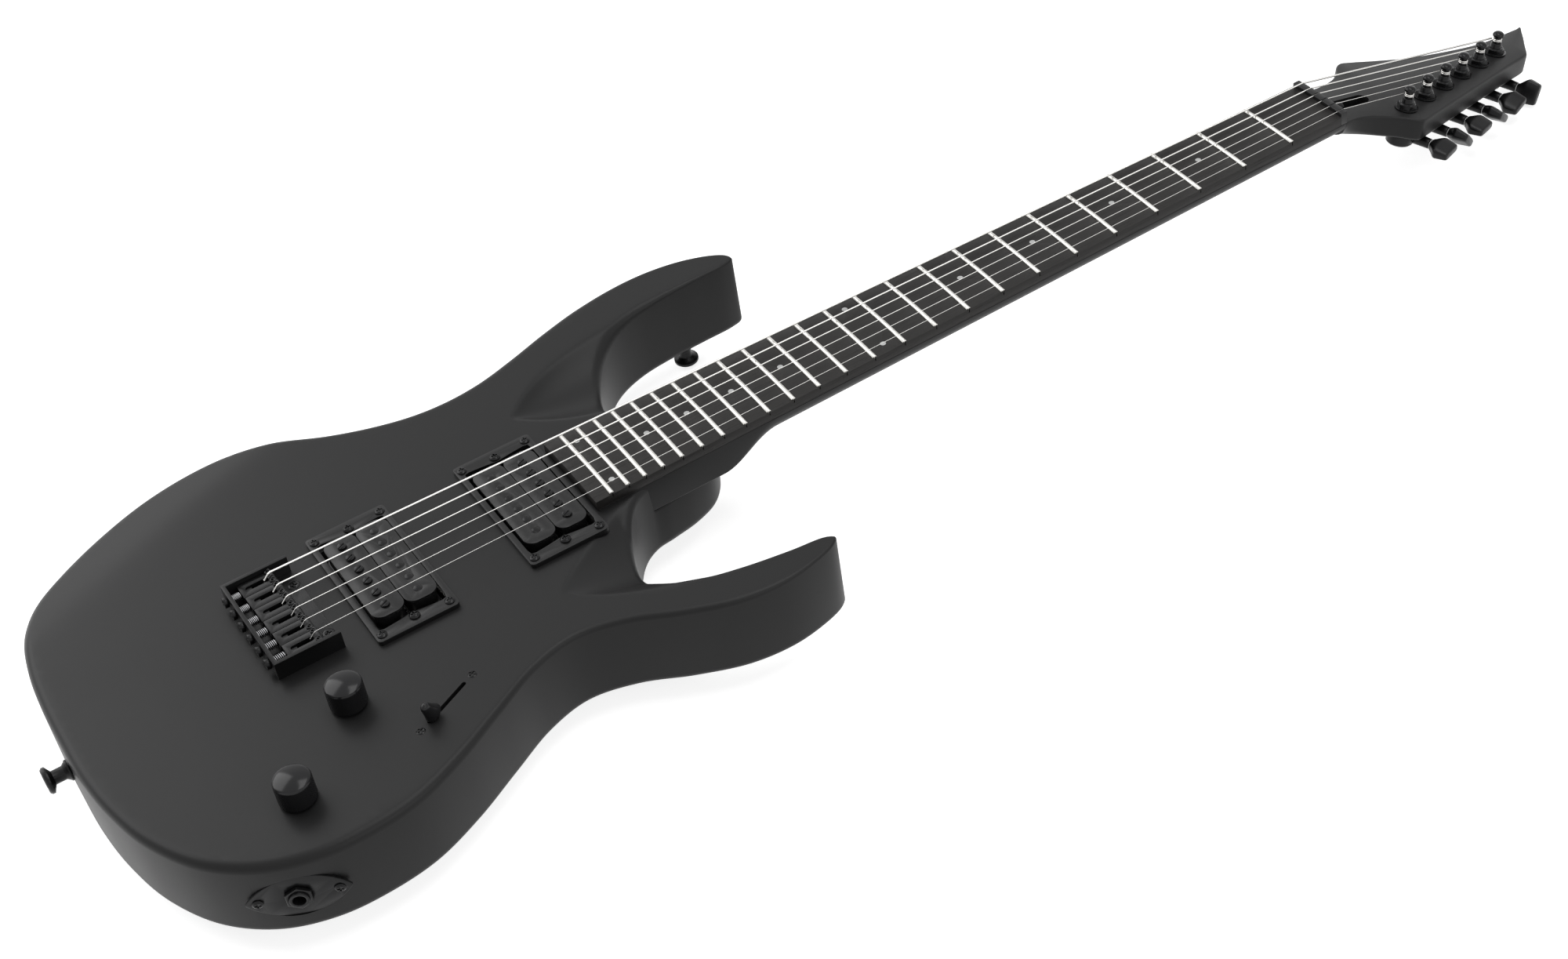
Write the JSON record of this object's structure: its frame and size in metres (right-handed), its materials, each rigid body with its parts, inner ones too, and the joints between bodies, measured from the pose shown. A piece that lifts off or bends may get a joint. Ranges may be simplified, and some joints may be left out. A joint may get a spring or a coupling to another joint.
{
  "type": "electric guitar",
  "caption": "Solid-body electric guitar with deep double cutaways, bolt-on neck, tuners in line, fixed string-through bridge and two open-coil pickups.",
  "frame": {"origin": "under the middle of the guitar's length, on the surface it lies on when it lies on its back", "axes": "+X along the neck to the headstock, +Y to the bass side, +Z out of the body's face"},
  "size_m": [0.9823, 0.3003, 0.0776],
  "materials": {
    "body_finish": "satin black lacquer",
    "neck_finish": "satin black lacquer",
    "ebony": "very dark open-grained wood, oiled",
    "fret_nickel": "polished nickel silver",
    "pearl": "grey pearl",
    "black_nut": "black, satin",
    "steel": "plain steel",
    "black_plastic": "black moulded plastic, satin",
    "black_metal": "black plated metal, satin",
    "black_chrome": "black chrome",
    "nickel": "bright nickel",
    "string_steel": "wound and plain steel",
    "wire_jacket": "black insulated wire"
  },
  "bodies": {
    "guitar": {"body": "body_finish", "neck": "neck_finish", "fretboard": "ebony", "frets": "fret_nickel", "position_dots": "pearl", "nut": "black_nut", "truss_rod": "steel", "neck_bolts": "black_metal", "control_cover": "black_plastic", "panel_screws": "black_metal", "bridge_ring": "black_plastic", "neck_ring": "black_plastic", "ring_screws": "black_metal", "height_screws": "black_metal", "height_springs": "steel", "bridge_coils": "black_plastic", "neck_coils": "black_plastic", "pickup_poles": "nickel", "pickup_bases": "nickel", "bridge_plate": "black_metal", "bridge_screws": "black_metal", "strings": "string_steel", "string_ferrules": "black_metal", "jack_plate": "black_metal", "jack_socket": "black_chrome", "strap_buttons": "black_metal", "pots": "steel", "switch_body": "steel", "wiring": "wire_jacket", "tuner_housings": "black_metal", "tuner_bushings": "black_chrome", "saddle_springs": "steel"},
    "volume_knob": {"volume_knob": "black_chrome"},
    "tone_knob": {"tone_knob": "black_chrome"},
    "switch_lever": {"switch_lever": "black_plastic"},
    "truss_nut": {"truss_nut": "black_chrome"},
    "saddle_1": {"saddle_1": "black_metal"},
    "intonation_screw_1": {"intonation_screw_1": "black_metal"},
    "saddle_2": {"saddle_2": "black_metal"},
    "intonation_screw_2": {"intonation_screw_2": "black_metal"},
    "saddle_3": {"saddle_3": "black_metal"},
    "intonation_screw_3": {"intonation_screw_3": "black_metal"},
    "saddle_4": {"saddle_4": "black_metal"},
    "intonation_screw_4": {"intonation_screw_4": "black_metal"},
    "saddle_5": {"saddle_5": "black_metal"},
    "intonation_screw_5": {"intonation_screw_5": "black_metal"},
    "saddle_6": {"saddle_6": "black_metal"},
    "intonation_screw_6": {"intonation_screw_6": "black_metal"},
    "tuner_post_1": {"tuner_post_1": "black_chrome"},
    "tuner_key_1": {"tuner_key_1": "black_metal"},
    "tuner_post_2": {"tuner_post_2": "black_chrome"},
    "tuner_key_2": {"tuner_key_2": "black_metal"},
    "tuner_post_3": {"tuner_post_3": "black_chrome"},
    "tuner_key_3": {"tuner_key_3": "black_metal"},
    "tuner_post_4": {"tuner_post_4": "black_chrome"},
    "tuner_key_4": {"tuner_key_4": "black_metal"},
    "tuner_post_5": {"tuner_post_5": "black_chrome"},
    "tuner_key_5": {"tuner_key_5": "black_metal"},
    "tuner_post_6": {"tuner_post_6": "black_chrome"},
    "tuner_key_6": {"tuner_key_6": "black_metal"}
  },
  "joints": [
    {"name": "volume_turn", "type": "hinge", "parent": "guitar", "child": "volume_knob", "pos_m": [-0.3542, -0.0703, 0.0771], "axis": [0, 0, 1], "range_deg": [0, 300]},
    {"name": "tone_turn", "type": "hinge", "parent": "guitar", "child": "tone_knob", "pos_m": [-0.39841, -0.1101, 0.0771], "axis": [0, 0, 1], "range_deg": [0, 300]},
    {"name": "switch_swing", "type": "hinge", "parent": "guitar", "child": "switch_lever", "pos_m": [-0.31626, -0.09915, 0.0441], "axis": [-0.4399, 0.898, 0], "range_deg": [0, 53]},
    {"name": "truss_nut_turn", "type": "hinge", "parent": "guitar", "child": "truss_nut", "pos_m": [0.31329, 0, 0.0559], "axis": [1, 0, 0], "range_deg": [-360, 360]},
    {"name": "intonation_turn_1", "type": "hinge", "parent": "guitar", "child": "intonation_screw_1", "pos_m": [-0.3755, 0.0265, 0.0671], "axis": [1, 0, 0], "range_deg": [-3601, 577]},
    {"name": "saddle_slide_1", "type": "slide", "parent": "guitar", "child": "saddle_1", "axis": [1, 0, 0], "range_m": [-0.0008, 0.005], "deforming": ["saddle_springs"]},
    {"name": "intonation_turn_2", "type": "hinge", "parent": "guitar", "child": "intonation_screw_2", "pos_m": [-0.3755, 0.0159, 0.0671], "axis": [1, 0, 0], "range_deg": [-3601, 577]},
    {"name": "saddle_slide_2", "type": "slide", "parent": "guitar", "child": "saddle_2", "axis": [1, 0, 0], "range_m": [-0.0008, 0.005], "deforming": ["saddle_springs"]},
    {"name": "intonation_turn_3", "type": "hinge", "parent": "guitar", "child": "intonation_screw_3", "pos_m": [-0.3755, 0.0053, 0.0671], "axis": [1, 0, 0], "range_deg": [-3601, 577]},
    {"name": "saddle_slide_3", "type": "slide", "parent": "guitar", "child": "saddle_3", "axis": [1, 0, 0], "range_m": [-0.0008, 0.005], "deforming": ["saddle_springs"]},
    {"name": "intonation_turn_4", "type": "hinge", "parent": "guitar", "child": "intonation_screw_4", "pos_m": [-0.3755, -0.0053, 0.0671], "axis": [1, 0, 0], "range_deg": [-3601, 577]},
    {"name": "saddle_slide_4", "type": "slide", "parent": "guitar", "child": "saddle_4", "axis": [1, 0, 0], "range_m": [-0.0008, 0.005], "deforming": ["saddle_springs"]},
    {"name": "intonation_turn_5", "type": "hinge", "parent": "guitar", "child": "intonation_screw_5", "pos_m": [-0.3755, -0.0159, 0.0671], "axis": [1, 0, 0], "range_deg": [-3601, 577]},
    {"name": "saddle_slide_5", "type": "slide", "parent": "guitar", "child": "saddle_5", "axis": [1, 0, 0], "range_m": [-0.0008, 0.005], "deforming": ["saddle_springs"]},
    {"name": "intonation_turn_6", "type": "hinge", "parent": "guitar", "child": "intonation_screw_6", "pos_m": [-0.3755, -0.0265, 0.0671], "axis": [1, 0, 0], "range_deg": [-3601, 577]},
    {"name": "saddle_slide_6", "type": "slide", "parent": "guitar", "child": "saddle_6", "axis": [1, 0, 0], "range_m": [-0.0008, 0.005], "deforming": ["saddle_springs"]},
    {"name": "key_turn_1", "type": "hinge", "parent": "guitar", "child": "tuner_key_1", "pos_m": [0.35695, -0.03615, 0.03051], "axis": [0.2858, -0.9563, -0.0618], "continuous": true},
    {"name": "post_turn_1", "type": "hinge", "parent": "guitar", "child": "tuner_post_1", "pos_m": [0.35209, -0.0204, 0.0556], "axis": [0.2113, 0, 0.9774], "continuous": true},
    {"name": "key_turn_2", "type": "hinge", "parent": "guitar", "child": "tuner_key_2", "pos_m": [0.37686, -0.02992, 0.0262], "axis": [0.2858, -0.9563, -0.0618], "continuous": true},
    {"name": "post_turn_2", "type": "hinge", "parent": "guitar", "child": "tuner_post_2", "pos_m": [0.372, -0.01417, 0.05129], "axis": [0.2113, 0, 0.9774], "continuous": true},
    {"name": "key_turn_3", "type": "hinge", "parent": "guitar", "child": "tuner_key_3", "pos_m": [0.39676, -0.0237, 0.0219], "axis": [0.2858, -0.9563, -0.0618], "continuous": true},
    {"name": "post_turn_3", "type": "hinge", "parent": "guitar", "child": "tuner_post_3", "pos_m": [0.39191, -0.00795, 0.04699], "axis": [0.2113, 0, 0.9774], "continuous": true},
    {"name": "key_turn_4", "type": "hinge", "parent": "guitar", "child": "tuner_key_4", "pos_m": [0.41667, -0.01747, 0.01759], "axis": [0.2858, -0.9563, -0.0618], "continuous": true},
    {"name": "post_turn_4", "type": "hinge", "parent": "guitar", "child": "tuner_post_4", "pos_m": [0.41182, -0.00172, 0.04268], "axis": [0.2113, 0, 0.9774], "continuous": true},
    {"name": "key_turn_5", "type": "hinge", "parent": "guitar", "child": "tuner_key_5", "pos_m": [0.43658, -0.01124, 0.01329], "axis": [0.2858, -0.9563, -0.0618], "continuous": true},
    {"name": "post_turn_5", "type": "hinge", "parent": "guitar", "child": "tuner_post_5", "pos_m": [0.43173, 0.00451, 0.03838], "axis": [0.2113, 0, 0.9774], "continuous": true},
    {"name": "key_turn_6", "type": "hinge", "parent": "guitar", "child": "tuner_key_6", "pos_m": [0.45649, -0.00501, 0.00898], "axis": [0.2858, -0.9563, -0.0618], "continuous": true},
    {"name": "post_turn_6", "type": "hinge", "parent": "guitar", "child": "tuner_post_6", "pos_m": [0.45164, 0.01074, 0.03407], "axis": [0.2113, 0, 0.9774], "continuous": true}
  ],
  "couplings": [
    {"joint": "intonation_turn_1", "follows": "saddle_slide_1", "rad_per_m": -12566},
    {"joint": "intonation_turn_2", "follows": "saddle_slide_2", "rad_per_m": -12566},
    {"joint": "intonation_turn_3", "follows": "saddle_slide_3", "rad_per_m": -12566},
    {"joint": "intonation_turn_4", "follows": "saddle_slide_4", "rad_per_m": -12566},
    {"joint": "intonation_turn_5", "follows": "saddle_slide_5", "rad_per_m": -12566},
    {"joint": "intonation_turn_6", "follows": "saddle_slide_6", "rad_per_m": -12566},
    {"joint": "post_turn_1", "follows": "key_turn_1", "ratio": 0.055556},
    {"joint": "post_turn_2", "follows": "key_turn_2", "ratio": 0.055556},
    {"joint": "post_turn_3", "follows": "key_turn_3", "ratio": 0.055556},
    {"joint": "post_turn_4", "follows": "key_turn_4", "ratio": 0.055556},
    {"joint": "post_turn_5", "follows": "key_turn_5", "ratio": 0.055556},
    {"joint": "post_turn_6", "follows": "key_turn_6", "ratio": 0.055556}
  ]
}
